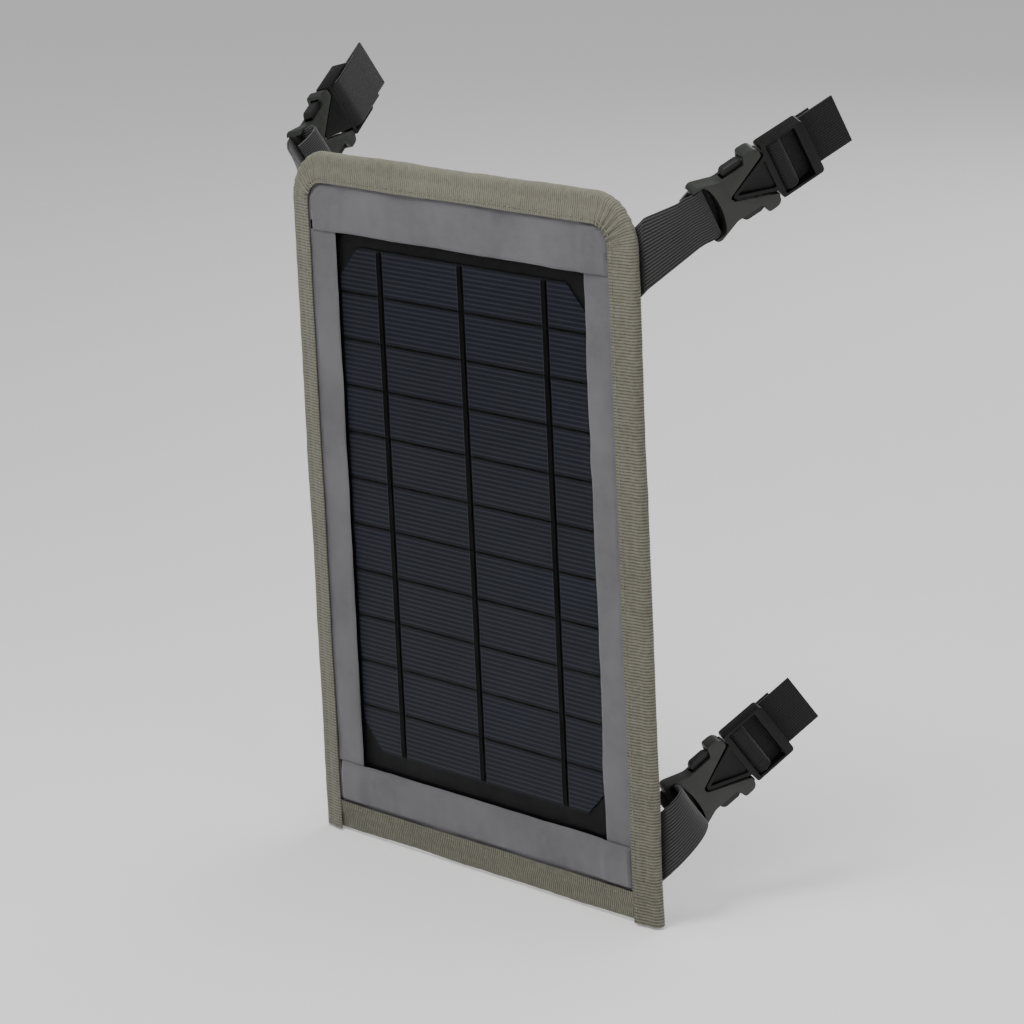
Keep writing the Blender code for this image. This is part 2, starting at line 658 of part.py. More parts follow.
def make_corner(end, hand, meshes):
    side = 1 if hand == "right" else -1
    name = f"{end}_{hand}"
    fold, slot_end, angles = CORNERS[end]
    along, across, out = buckle_axes(*angles)
    right_frame = Matrix((along, across, out)).transposed().to_4x4()
    right_frame.translation = slot_end
    flip = Matrix.Diagonal((side, 1, 1, 1))
    frame = flip @ right_frame @ Matrix.Diagonal((1, side, 1, 1))
    female, male, prongs = meshes

    fold_pivot = add_pivot(f"fold_{name}", flip @ Matrix.Translation(fold) @ flip)
    strap = solidified(grid_surface([mirror_row(r, side) for r in strap_rows(end, fold, right_frame)]), WEB_T)
    add_part(f"strap_{name}", strap, WEBBING, pivot=fold_pivot)
    add_part(f"buckle_female_{name}", female.copy(), GREY_PLASTIC, frame, fold_pivot)

    slide_pivot = add_pivot(f"slide_{name}", frame)
    add_part(f"buckle_male_{name}", male.copy(), BLACK_PLASTIC, frame, slide_pivot)
    tail = solidified(grid_surface([mirror_row(r, side) for r in tail_rows(right_frame)]), WEB_T)
    add_part(f"tail_{name}", tail, WEBBING, pivot=slide_pivot)
    for label, b_side in (("upper", side), ("lower", -side)):
        hinge = frame @ Matrix.Translation((PRONG_PIVOT.x, b_side * PRONG_PIVOT.y, 0.0))
        add_part(f"prong_{label}_{name}", prongs[b_side].copy(), BLACK_PLASTIC, hinge)


def make_corners():
    meshes = (female_mesh(), male_mesh(), {1: prong_mesh(1), -1: prong_mesh(-1)})
    for end in CORNERS:
        for hand in ("right", "left"):
            make_corner(end, hand, meshes)


make_laminate()
make_frame()
make_bindings()
make_junction_box()
make_corners()
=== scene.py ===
"""Fabric-framed solar panel: woven frame, bound edge, cells under a clear film, webbing and buckles."""

import json
import math

import bmesh
import bpy
import numpy as np
from mathutils import Matrix, Vector, noise


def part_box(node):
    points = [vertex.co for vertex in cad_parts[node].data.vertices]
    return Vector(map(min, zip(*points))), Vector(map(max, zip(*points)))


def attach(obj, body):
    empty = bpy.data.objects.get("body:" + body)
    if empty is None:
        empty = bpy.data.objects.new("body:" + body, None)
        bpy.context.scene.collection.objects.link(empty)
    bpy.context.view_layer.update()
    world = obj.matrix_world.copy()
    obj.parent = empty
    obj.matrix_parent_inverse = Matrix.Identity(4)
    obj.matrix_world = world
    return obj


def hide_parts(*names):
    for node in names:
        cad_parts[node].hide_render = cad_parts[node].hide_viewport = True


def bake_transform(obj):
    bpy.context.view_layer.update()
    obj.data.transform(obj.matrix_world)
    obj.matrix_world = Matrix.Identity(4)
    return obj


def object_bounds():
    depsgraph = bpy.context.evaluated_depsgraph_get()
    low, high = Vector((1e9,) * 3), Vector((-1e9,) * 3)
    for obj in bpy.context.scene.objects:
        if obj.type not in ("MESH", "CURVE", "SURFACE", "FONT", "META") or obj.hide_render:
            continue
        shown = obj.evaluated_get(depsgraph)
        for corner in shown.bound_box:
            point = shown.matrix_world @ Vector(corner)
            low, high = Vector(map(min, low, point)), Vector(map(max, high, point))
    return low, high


MM = 0.001
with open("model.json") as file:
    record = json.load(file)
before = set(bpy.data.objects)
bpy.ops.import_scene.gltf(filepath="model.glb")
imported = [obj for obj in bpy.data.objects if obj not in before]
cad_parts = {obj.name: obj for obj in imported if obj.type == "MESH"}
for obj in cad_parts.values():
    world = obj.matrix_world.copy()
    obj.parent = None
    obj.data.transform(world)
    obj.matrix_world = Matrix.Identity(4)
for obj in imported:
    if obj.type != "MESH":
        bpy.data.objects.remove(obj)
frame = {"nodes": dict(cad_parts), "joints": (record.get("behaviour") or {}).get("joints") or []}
cad_box = [list(corner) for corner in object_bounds()]

# Sizes read from the frame
BIND_LOW, BIND_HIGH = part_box("binding_main")
COVER_LOW, COVER_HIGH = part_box("back_cover")
FILM_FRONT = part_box("front_film")[0].y
WINDOW_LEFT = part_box("frame_strip_left")[1].x
WINDOW_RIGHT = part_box("frame_strip_right")[0].x
WINDOW_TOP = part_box("frame_strip_top")[0].z
WINDOW_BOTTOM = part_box("frame_strip_bottom")[1].z
HALF_W = BIND_HIGH.x
TOP = BIND_HIGH.z
BOTTOM = BIND_LOW.z
FRONT = BIND_LOW.y
REAR = BIND_HIGH.y
CELL_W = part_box("cell_05")[1].x * 2

# Laminate
CELL_PITCH = 19.9 * MM
FINGERS_PER_CELL = 10
LINE_HALF, LINE_FADE = 0.10 * MM, 0.50 * MM
GAP_HALF, GAP_FADE = 0.55 * MM, 0.9 * MM
BUS_HALF, BUS_FADE = 1.7 * MM, 2.2 * MM

# Binding tape
CORNER_R = 22 * MM
BINDING_W = 12.5 * MM  # of the tape on each face
TAPE_T = 0.5 * MM
TAPE_BEND = 2.6 * MM  # radius of the fold round the panel's edge
TAPER = 1.15 * MM  # how far the tape's inner edge is drawn in
TAPE_UV_OFFSET = 0.03  # keeps the hidden side of the tape apart on the texture plane
RIB_PITCH = 1.25 * MM
ROW_STEP = RIB_PITCH / 4
DIP_AT, DIP_DEPTH, DIP_WIDTH = 5.6 * MM, 0.32 * MM, 1.1 * MM  # the groove that the seam pulls in
LOW_TAPE_GAP = 0.12 * MM

# Sewing
STITCH_PITCH = 3.1 * MM
STITCH_INSET = 1.9 * MM  # from the tape's inner edge
STITCH_START = 4 * MM
STITCH_PROUD = 0.05 * MM
STITCH_ACROSS = 0.04  # share of a stitch's direction that leans out of its row
TAB_STITCH_PITCH = 2.6 * MM

# Fabric frame
LAYER_GAP = 0.14 * MM
CLEAR_OF_TAPE = 1.5 * MM
LOW_TAPE_LAP = 2 * MM
STRIP_UNDER_TAPE = 0.55 * MM
COVER_UNDER_TAPE = 0.35 * MM
FABRIC_T = 0.16 * MM
FOLD_ROLL = 0.55 * MM
FINE_NEAR_FOLD = 3 * MM
STRIP_TUCK = 4 * MM
SIDE_LIFT = 0.95 * MM

# Webbing and buckles
WEB_W = 22.5 * MM
WEB_T = 1.2 * MM
WEB_RIBS = 20
POINTS_PER_RIB = 4
RIB_DEPTH = 0.10 * MM
WEB_STEP = 0.9 * MM
WEB_UV_OFFSET = 0.05  # keeps the webbing's two faces apart on the texture plane
STRAP_SLOPE = math.radians(38)
TAB_LENGTH = 24 * MM
PRONG_ALONG = 30.6 * MM

# Camera
CAMERA_PLACE = Vector((1.3823, -1.1366, 0.4299))
CAMERA_UP = Vector((-0.14052, 0.17679, 0.97417))
CAMERA_TARGET = Vector((0.0120, 0.0080, 0.0060))
CAMERA_LENS = 158
SENSOR_W = 36


# --- Material building --------------------------------------------------------------------------
class Nodes:
    """A material's node tree with short calls for what the materials below need."""

    def __init__(self, name):
        self.mat = bpy.data.materials.new(name)
        self.mat.use_nodes = True
        self.tree = self.mat.node_tree
        self.shader = self.tree.nodes["Principled BSDF"]

    def set(self, **values):
        for key, value in values.items():
            self.shader.inputs[key.replace("_", " ")].default_value = value
        return self

    def add(self, kind, **props):
        node = self.tree.nodes.new("ShaderNode" + kind)
        for key, value in props.items():
            setattr(node, key, value)
        return node

    def wire(self, source, target):
        self.tree.links.new(source, target)

    def math(self, operation, a, b=0.0, c=None):
        node = self.add("Math", operation=operation)
        for i, value in enumerate((a, b) if c is None else (a, b, c)):
            if isinstance(value, (int, float)):
                node.inputs[i].default_value = value
            else:
                self.wire(value, node.inputs[i])
        return node.outputs[0]

    def axis(self, coordinates, name):
        split = self.add("SeparateXYZ")
        self.wire(coordinates, split.inputs[0])
        return split.outputs[name]

    def place(self, kind="Object"):
        return self.add("TexCoord").outputs[kind]

    def noise(self, coordinates, scale, detail=2.0, roughness=0.5):
        node = self.add("TexNoise")
        self.wire(coordinates, node.inputs["Vector"])
        node.inputs["Scale"].default_value = scale
        node.inputs["Detail"].default_value = detail
        node.inputs["Roughness"].default_value = roughness
        return node.outputs["Fac"]

    def ramp(self, value, low, high, start=0.0, end=1.0):
        """Maps start..end of a value to low..high, clamped."""
        node = self.add("MapRange", clamp=True)
        self.wire(value, node.inputs["Value"])
        for key, number in (("From Min", start), ("From Max", end), ("To Min", low), ("To Max", high)):
            node.inputs[key].default_value = number
        return node.outputs["Result"]

    def mix(self, factor, a, b):
        node = self.add("Mix", data_type="RGBA")
        if isinstance(factor, (int, float)):
            node.inputs[0].default_value = factor
        else:
            self.wire(factor, node.inputs[0])
        for slot, value in ((6, a), (7, b)):
            if isinstance(value, tuple):
                node.inputs[slot].default_value = (*value, 1.0)
            else:
                self.wire(value, node.inputs[slot])
        return node.outputs[2]

    def wave(self, value, pitch):
        """0..1..0 along a coordinate, once each pitch."""
        angle = self.math("MULTIPLY", value, math.tau / pitch)
        return self.math("MULTIPLY_ADD", self.math("SINE", angle), 0.5, 0.5)

    def colour(self, socket):
        self.wire(socket, self.shader.inputs["Base Color"])
        return self

    def rough(self, socket):
        self.wire(socket, self.shader.inputs["Roughness"])
        return self

    def bump(self, height, distance):
        node = self.add("Bump")
        node.inputs["Distance"].default_value = distance
        self.wire(height, node.inputs["Height"])
        self.wire(node.outputs["Normal"], self.shader.inputs["Normal"])
        return self


def shade(colour, factor):
    return tuple(c * factor for c in colour)


def nylon(name, colour):
    """Fine plain-woven nylon: threads both ways, soft blotches and streaks of painted shade and sheen, a
    satin sheen.
    """
    n = Nodes(name).set(Metallic=0.0, Sheen_Weight=0.25, Sheen_Roughness=0.35, Specular_IOR_Level=0.35)
    uv = n.place("UV")
    warp = n.wave(n.axis(uv, "X"), 0.55 * MM)
    weft = n.wave(n.axis(uv, "Y"), 0.62 * MM)
    weave = n.math("MAXIMUM", warp, weft)
    blotch = n.noise(uv, 28.0, 3.0)
    sheen_streak = n.noise(uv, 160.0, 2.0)
    # painted shade and sheen: lighter and darker blotches stand in for the light on the cloth's crumples
    tone = n.mix(n.ramp(blotch, 0, 1, 0.34, 0.66), shade(colour, 0.84), shade(colour, 1.16))
    # painted sheen: lighter satin streaks
    tone = n.mix(n.ramp(sheen_streak, 0, 0.35, 0.35, 0.75), tone, shade(colour, 1.28))
    tone = n.mix(n.ramp(weave, 0.28, 0), tone, shade(colour, 0.6))
    n.colour(tone)
    n.rough(n.ramp(blotch, 0.56, 0.70))
    n.bump(n.math("ADD", weave, n.math("MULTIPLY", sheen_streak, 1.8)), 0.00007)
    return n.mat


def grosgrain(name, colour):
    """Ribbed binding tape: warp threads run along it, over the cross ribs that the mesh has, with painted
    shade between the ribs and a painted highlight on their crests.
    """
    n = Nodes(name).set(Sheen_Weight=0.15, Sheen_Roughness=0.5, Specular_IOR_Level=0.25)
    uv = n.place("UV")
    rib = n.wave(n.axis(uv, "X"), RIB_PITCH)
    threads = n.wave(n.axis(uv, "Y"), 0.45 * MM)
    blotch = n.noise(uv, 45.0, 3.0)
    fibre = n.noise(uv, 900.0, 2.0)
    tone = n.mix(n.ramp(blotch, 0, 1, 0.3, 0.7), shade(colour, 0.9), shade(colour, 1.1))
    # painted shade in the gaps between the ribs and painted highlight on their crests, made ragged by noise
    rib_shading = n.math("ADD", rib, n.math("MULTIPLY", n.math("SUBTRACT", n.noise(uv, 420.0, 3.0), 0.5), 0.9))
    tone = n.mix(n.ramp(rib_shading, 0.85, 0.0, 0.0, 0.60), tone, shade(colour, 0.32))
    tone = n.mix(n.ramp(rib_shading, 0.0, 0.5, 0.75, 1.15), tone, shade(colour, 1.45))
    tone = n.mix(n.ramp(fibre, 0.0, 0.3, 0.45, 0.8), tone, shade(colour, 1.35))
    n.colour(tone)
    n.rough(n.ramp(fibre, 0.75, 0.92))
    n.bump(n.math("ADD", n.math("MULTIPLY", threads, 0.5), fibre), 0.00008)
    return n.mat


def webbing(name, colour, rib_highlight=2.9):
    """Flat woven webbing: lengthwise ribs in the mesh with painted shade and highlight along them, slanted
    picks between them.
    """
    n = Nodes(name).set(Sheen_Weight=0.25, Sheen_Roughness=0.45, Specular_IOR_Level=0.3)
    uv = n.place("UV")
    along = n.axis(uv, "X")
    across = n.axis(uv, "Y")
    rib = n.wave(across, WEB_W / WEB_RIBS)
    pick = n.wave(n.math("ADD", along, n.math("MULTIPLY", across, 0.6)), 0.75 * MM)
    fibre = n.noise(uv, 1100.0, 2.0)
    blotch = n.noise(uv, 60.0, 2.0)
    # painted shade in the rib valleys and painted highlight on the rib crests
    tone = n.mix(n.ramp(rib, 0.0, 1.0, 0.25, 0.95), shade(colour, 0.12), shade(colour, rib_highlight))
    tone = n.mix(n.ramp(pick, 0.0, 0.35, 0.3, 1.0), tone, shade(colour, 0.7))
    tone = n.mix(n.ramp(fibre, 0.0, 0.25, 0.5, 0.8), tone, shade(colour, 2.4))
    tone = n.mix(n.ramp(blotch, 0.0, 0.2, 0.4, 0.8), tone, shade(colour, 1.6))
    n.colour(tone)
    n.rough(n.ramp(fibre, 0.62, 0.85))
    n.bump(n.math("ADD", n.math("MULTIPLY", pick, 0.7), fibre), 0.00010)
    return n.mat


def plastic(name, colour, rough, grain=0.00002, spec=0.5, painted_sheen=0.30):
    """Moulded plastic: fine grain, faint mottling, and smears unless it lies under the film: rougher handling
    marks, lighter in colour as a painted sheen.
    """
    n = Nodes(name).set(Specular_IOR_Level=spec)
    xyz = n.place()
    mottle = n.noise(xyz, 120.0, 3.0)
    smear_and_sheen = n.noise(xyz, 420.0, 4.0, 0.65) if painted_sheen else mottle
    tone = n.mix(n.ramp(mottle, 0, 1, 0.3, 0.7), shade(colour, 0.88), shade(colour, 1.14))
    # painted sheen: the smears lighten the colour as well as changing the roughness
    tone = n.mix(n.ramp(smear_and_sheen, 0.0, painted_sheen, 0.5, 0.75), tone, shade(colour, 1.9))
    n.colour(tone)
    n.rough(n.ramp(smear_and_sheen, rough - 0.07, rough + 0.12, 0.3, 0.7))
    if grain:
        n.bump(n.noise(xyz, 2600.0, 2.0), grain)
    return n.mat


def metal(name, colour, rough):
    n = Nodes(name).set(Metallic=1.0)
    xyz = n.place()
    brushed = n.noise(xyz, 900.0, 3.0)
    n.colour(n.mix(n.ramp(brushed, 0, 1, 0.3, 0.7), shade(colour, 0.85), colour))
    n.rough(n.ramp(brushed, rough - 0.08, rough + 0.12))
    n.bump(brushed, 0.00002)
    return n.mat


def cell_material():
    """Blue-black wafer: light finger lines, dark gaps, bus bands with a pale rim, each strip its own tone."""
    n = Nodes("cell_silicon").set(Metallic=0.0, Specular_IOR_Level=0.12)
    xyz = n.place()
    z = n.axis(xyz, "Z")
    lowest = CELL_PITCH * 5.5
    row = n.math("FLOOR", n.math("DIVIDE", n.math("ADD", z, lowest), CELL_PITCH))
    shift = n.add("TexWhiteNoise", noise_dimensions="1D")
    n.wire(row, shift.inputs["W"])
    finger = n.math("PINGPONG", z, CELL_PITCH / (2 * FINGERS_PER_CELL))
    line = n.ramp(finger, 1.0, 0.0, LINE_HALF, LINE_FADE)
    crystal = n.noise(xyz, 14.0, 2.0)
    base = n.mix(shift.outputs["Value"], (0.0043, 0.0057, 0.0139), (0.0059, 0.0067, 0.0125))
    base = n.mix(n.ramp(crystal, 0.0, 0.8, 0.35, 0.7), base, (0.0046, 0.0056, 0.0092))
    tone = n.mix(n.math("MULTIPLY", line, 0.55), base, (0.037, 0.042, 0.057))
    gap = n.math("PINGPONG", n.math("ADD", z, CELL_PITCH / 2), CELL_PITCH / 2)
    tone = n.mix(n.ramp(gap, 1.0, 0.0, GAP_HALF, GAP_FADE), tone, (0.0023, 0.0025, 0.0033))
    bus = n.math("PINGPONG", n.math("ADD", n.axis(xyz, "X"), CELL_W / 6), CELL_W / 6)
    off_bus = n.math("SUBTRACT", CELL_W / 6, bus)
    tone = n.mix(n.ramp(off_bus, 1.0, 0.0, BUS_HALF, BUS_FADE), tone, (0.0020, 0.0021, 0.0028))
    rim_in = n.ramp(off_bus, 0.0, 1.0, 1.9 * MM, 2.1 * MM)
    rim = n.math("MULTIPLY", rim_in, n.ramp(off_bus, 1.0, 0.0, 2.3 * MM, 2.6 * MM))
    tone = n.mix(n.math("MULTIPLY", rim, 0.35), tone, (0.040, 0.045, 0.059))
    n.colour(tone)
    n.rough(n.ramp(crystal, 0.34, 0.46))
    n.bump(crystal, 0.00002)
    return n.mat


def film_material():
    """Clear film, wholly see-through: the cells and the board under it carry the window's tone and gloss."""
    n = Nodes("film_clear").set(Metallic=0.0, Specular_IOR_Level=0.16, Alpha=0.0)
    xyz = n.place()
    sag = n.noise(xyz, 26.0, 2.0)
    haze = n.noise(xyz, 18.0, 3.0)
    n.colour(n.mix(n.ramp(haze, 0, 1, 0.3, 0.7), (0.0055, 0.0055, 0.0065), (0.0085, 0.0085, 0.0100)))
    n.rough(n.ramp(haze, 0.36, 0.48))
    n.bump(sag, 0.00012)
    return n.mat


GREY = (0.132, 0.129, 0.138)
OLIVE = (0.172, 0.165, 0.126)
BLACK_WEB = (0.022, 0.022, 0.022)
looks = {
    "frame_fabric": nylon("grey_nylon", GREY),
    "back_fabric": nylon("back_nylon", shade(GREY, 0.75)),
    "tape": grosgrain("olive_grosgrain", OLIVE),
    "thread": grosgrain("olive_thread", shade(OLIVE, 1.25)),
    "dark_thread": plastic("dark_thread", (0.020, 0.020, 0.020), 0.7),
    "webbing": webbing("black_webbing", BLACK_WEB),
    # painted shade: a darker copy of the webbing with less rib highlight, for the shade inside the male
    # half's window
    "tail_webbing": webbing("shaded_webbing", shade(BLACK_WEB, 0.28), 1.5),
    "grey_plastic": plastic("grey_green_plastic", (0.020, 0.0225, 0.0185), 0.36, spec=0.42),
    "knob_plastic": plastic("knob_plastic", (0.014, 0.015, 0.014), 0.40, spec=0.3),
    "black_plastic": plastic("black_plastic", (0.0050, 0.0050, 0.0048), 0.34, spec=0.22),
    "board": plastic("black_backsheet", (0.0065, 0.0065, 0.007), 0.5, 0.0, spec=0.1, painted_sheen=0.0),
    "foam": plastic("dark_foam", (0.04, 0.04, 0.045), 0.9, 0.0002),
    "ribbon": plastic("dark_ribbon", (0.0024, 0.0024, 0.0027), 0.5, 0.0, spec=0.05, painted_sheen=0.0),
    "steel": metal("plated_steel", (0.55, 0.55, 0.54), 0.3),
    "rubber": plastic("black_rubber", (0.02, 0.02, 0.02), 0.8, 0.00006),
    "circuit": plastic("green_board", (0.015, 0.09, 0.04), 0.4),
    "white_plastic": plastic("white_plastic", (0.7, 0.7, 0.66), 0.45),
    "red_lens": plastic("red_lens", (0.45, 0.02, 0.015), 0.15, 0.0),
    "cell": cell_material(),
    "film": film_material(),
}


# --- Mesh building ------------------------------------------------------------------------------
def new_piece(name, verts, faces, look, uvs):
    """A mesh object. uvs holds one (u, v) in metres for each vertex."""
    mesh = bpy.data.meshes.new(name)
    mesh.from_pydata([tuple(map(float, v)) for v in verts], [], faces)
    layer = mesh.uv_layers.new(name="UVMap")
    index = np.empty(len(mesh.loops), np.int32)
    mesh.loops.foreach_get("vertex_index", index)
    layer.data.foreach_set("uv", np.asarray(uvs, np.float32)[index].ravel())
    bm = bmesh.new()
    bm.from_mesh(mesh)
    bmesh.ops.recalc_face_normals(bm, faces=bm.faces)
    bm.to_mesh(mesh)
    bm.free()
    mesh.shade_smooth()
    mesh.set_sharp_from_angle(angle=math.radians(50))
    mesh.materials.append(looks[look])
    obj = bpy.data.objects.new(name, mesh)
    bpy.context.scene.collection.objects.link(obj)
    return obj


def swept(name, sections, look, uvs):
    """Closed solid through closed sections (n, m, 3), with a face at each end. uvs is (n, m, 2)."""
    count, size = sections.shape[:2]
    faces = []
    for i in range(count - 1):
        for j in range(size):
            k = (j + 1) % size
            faces.append((i * size + j, i * size + k, (i + 1) * size + k, (i + 1) * size + j))
    faces.append(tuple(range(size)))
    faces.append(tuple((count - 1) * size + j for j in reversed(range(size))))
    return new_piece(name, sections.reshape(-1, 3), faces, look, uvs.reshape(-1, 2))


def slab(name, front, back, look, uvs):
    """Closed sheet between a front and a back grid of points (n, m, 3)."""
    n, m = front.shape[:2]
    verts = np.concatenate([front.reshape(-1, 3), back.reshape(-1, 3)])
    faces = []
    off = n * m
    for i in range(n - 1):
        for j in range(m - 1):
            a, b, c, d = i * m + j, i * m + j + 1, (i + 1) * m + j + 1, (i + 1) * m + j
            faces.append((a, b, c, d))
            faces.append((off + d, off + c, off + b, off + a))
    rim = list(range(m)) + [i * m + m - 1 for i in range(1, n)]
    rim += [(n - 1) * m + j for j in reversed(range(m - 1))]
    rim += [i * m for i in reversed(range(1, n - 1))]
    for a, b in zip(rim, rim[1:] + rim[:1]):
        faces.append((a, off + a, off + b, b))
    flat = uvs.reshape(-1, 2)
    return new_piece(name, verts, faces, look, np.concatenate([flat, flat]))


def ripple(x, z, size, seed):
    """Smooth noise from about -1 to 1 over the plane, with features of a size."""
    return noise.noise(Vector((x / size, z / size, seed * 7.3)))


def smoothstep(x, low, high):
    t = np.clip((x - low) / (high - low), 0, 1)
    return t * t * (3 - 2 * t)


# --- Fabric frame -------------------------------------------------------------------------------
def limit_x(z):
    """Half width of the fabric at a height: it follows the rounded top corners inside the binding."""
    r = CORNER_R - 2.5 * MM
    over = max(0.0, z - (COVER_HIGH.z - r))
    return COVER_HIGH.x - (r - math.sqrt(max(0.0, r * r - over * over)))


def from_outline(x, z):
    """Distance inward from the panel's outline."""
    r = CORNER_R
    if abs(x) > HALF_W - r and z > TOP - r:
        return r - math.hypot(abs(x) - (HALF_W - r), z - (TOP - r))
    return min(HALF_W - abs(x), TOP - z, z - BOTTOM)


def tape_over(x, z):
    """Depth of the tape's layers at a place and how far the tape is drawn in, or None clear of the tape."""
    inset = from_outline(x, z)
    if inset > BINDING_W + CLEAR_OF_TAPE:
        return None
    layers = 2 if z < BOTTOM + BINDING_W + LOW_TAPE_LAP else 1
    return layers * (TAPE_T + LAYER_GAP), TAPER * float(smoothstep(1 - inset / BINDING_W, 0.05, 0.9))


def under_tape(x, z):
    """How far forward a strip may come at a place: behind the tape near the edge, free elsewhere."""
    tape_there = tape_over(x, z)
    return FRONT + tape_there[0] + STRIP_UNDER_TAPE + tape_there[1] if tape_there else -1.0


def behind_tape(x, z):
    """How far back the cover may come at a place: in front of the tape's rear side near the edge."""
    tape_there = tape_over(x, z)
    return REAR - tape_there[0] - COVER_UNDER_TAPE - tape_there[1] if tape_there else 1.0


def frame_strip(name, x0, x1, z0, z1, fold, front, back, seed, lift=None):
    """One strip of the fabric frame, folded to a soft edge on the window's side.

    fold names the side with the folded edge: left, right, up or down."""
    step = 1.1 * MM
    nx = max(8, round((x1 - x0) / step))
    nz = max(8, round((z1 - z0) / step))
    front_grid = np.zeros((nz + 1, nx + 1, 3))
    back_grid = np.zeros_like(front_grid)
    uvs = np.zeros((nz + 1, nx + 1, 2))
    roll = FOLD_ROLL
    across_x = fold in ("left", "right")
    width = (x1 - x0) if across_x else (z1 - z0)
    for i in range(nz + 1):
        for j in range(nx + 1):
            u, v = j / nx, i / nz
            share = {"left": u, "right": 1 - u, "down": v, "up": 1 - v}[fold]
            dist = share * width
            if dist < FINE_NEAR_FOLD:
                dist = FINE_NEAR_FOLD * (dist / FINE_NEAR_FOLD) ** 1.5
            run = z0 + v * (z1 - z0) if across_x else x0 + u * (x1 - x0)
            wobble = 0.35 * MM * ripple(run, 0, 26 * MM, seed) + 0.12 * MM * ripple(run, 0, 7 * MM, seed + 1)
            reach = dist + wobble * max(0.0, 1 - dist / (8 * MM))
            if across_x:
                x = x0 + reach if fold == "left" else x1 - reach
                z = z0 + v * (z1 - z0)
            else:
                z = z0 + reach if fold == "down" else z1 - reach
                x = x0 + u * (x1 - x0)
            edge = limit_x(z) - 1.2 * MM
            x = max(-edge, min(edge, x))
            rim = roll - math.sqrt(max(0.0, roll * roll - max(0.0, roll - dist) ** 2))
            middle = math.sin(min(1.0, dist / (14 * MM)) * math.pi)
            puff = 0.28 * MM * middle * (1 + 0.6 * ripple(run, 0, 38 * MM, seed + 2))
            pucker = 0.30 * MM * ripple(x, z, 8 * MM, seed + 3) * math.exp(-dist / (7 * MM))
            seam = 0.38 * MM * ripple(run, 0, 5.5 * MM, seed + 5) * math.exp(-abs(dist - 15 * MM) / (5 * MM))
            sway = 0.80 * MM * (ripple(x, z, 22 * MM, seed + 4) + 0.15)
            if across_x:  # flat where the top and bottom strips cover it
                calm = float(smoothstep(min(z - WINDOW_BOTTOM, WINDOW_TOP - z), -1 * MM, 9 * MM))
                puff, pucker, seam, sway = puff * calm, pucker * calm, seam * calm, sway * calm
            raise_by = lift(x) if lift else 0.0
            y = front - raise_by - puff - pucker - seam - sway + rim
            y_back = back - raise_by
            sunk = under_tape(x, z)
            if y < sunk:
                y = sunk
                y_back = max(y_back, y + FABRIC_T)
            front_grid[i, j] = (x, min(y, y_back - 0.12 * MM), z)
            back_grid[i, j] = (x, y_back, z)
            uvs[i, j] = (x, z)
    piece = slab(f"{name}_fabric", front_grid, back_grid, "frame_fabric", uvs)
    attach(piece, "panel")
    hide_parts(name)


def make_frame_strips():
    side_front = FILM_FRONT - 0.75 * MM
    side_back = FILM_FRONT - 0.06 * MM
    edge_x = COVER_HIGH.x - 0.4 * MM
    low, high = COVER_LOW.z, COVER_HIGH.z

    def over_sides(x):
        return SIDE_LIFT * float(smoothstep(abs(x), 73 * MM, 80 * MM))

    side_low, side_high = WINDOW_BOTTOM - STRIP_TUCK, WINDOW_TOP + STRIP_TUCK
    end_front, end_back = side_front + 0.1 * MM, side_back - 0.02 * MM
    frame_strip("frame_strip_left", -edge_x, WINDOW_LEFT, side_low, side_high, "right",
                side_front, side_back, 1)
    frame_strip("frame_strip_right", WINDOW_RIGHT, edge_x, side_low, side_high, "left",
                side_front, side_back, 2)
    frame_strip("frame_strip_top", -edge_x, edge_x, WINDOW_TOP, high, "down",
                end_front, end_back, 3, over_sides)
    frame_strip("frame_strip_bottom", -edge_x, edge_x, low, WINDOW_BOTTOM, "up",
                end_front, end_back, 4, over_sides)


def make_back_cover():
    step = 1.4 * MM
    nx = round((COVER_HIGH.x - COVER_LOW.x) / step)
    nz = round((COVER_HIGH.z - COVER_LOW.z) / step)
    rear = np.zeros((nz + 1, nx + 1, 3))
    inner = np.zeros_like(rear)
    uvs = np.zeros((nz + 1, nx + 1, 2))
    for i in range(nz + 1):
        for j in range(nx + 1):
            z = COVER_LOW.z + (COVER_HIGH.z - COVER_LOW.z) * i / nz
            edge = limit_x(z)
            x = edge * (2 * j / nx - 1)
            near_edge = math.exp(-min(edge - abs(x), COVER_HIGH.z - z, z - COVER_LOW.z) / (16 * MM))
            crease = 0.28 * MM * ripple(x, z, 9 * MM, 21) * near_edge + 0.10 * MM * ripple(x, z, 34 * MM, 22)
            y = min(COVER_HIGH.y - 0.05 * MM + crease * 0.6, behind_tape(x, z))
            rear[i, j] = (x, y, z)
            inner[i, j] = (x, min(COVER_LOW.y, y - FABRIC_T), z)
            uvs[i, j] = (x, z)
    piece = slab("back_cover_fabric", rear, inner, "back_fabric", uvs)
    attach(piece, "panel")
    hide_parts("back_cover")


# --- Binding tape -------------------------------------------------------------------------------
def tape_section(front, rear, width, taper):
    """Open line round the panel's edge: (inward distance, y) from the front inner edge to the rear one."""
    points = []
    bend = TAPE_BEND
    mid = (front + rear) / 2
    half_front = mid - front - taper
    for t in np.linspace(0, 1, 13):
        d = width + (bend - width) * t
        sink = taper * smoothstep(1 - d / width, 0.05, 0.9)
        points.append((d, front + sink))
    for angle in np.linspace(0, math.pi, 11)[1:-1]:
        d = bend - bend * math.sin(angle)
        y = mid - half_front * math.cos(angle)
        points.append((d, y))
    for t in np.linspace(0, 1, 7):
        d = bend + (width - bend) * t
        sink = taper * smoothstep(1 - d / width, 0.05, 0.9)
        points.append((d, rear - sink))
    return np.array(points)


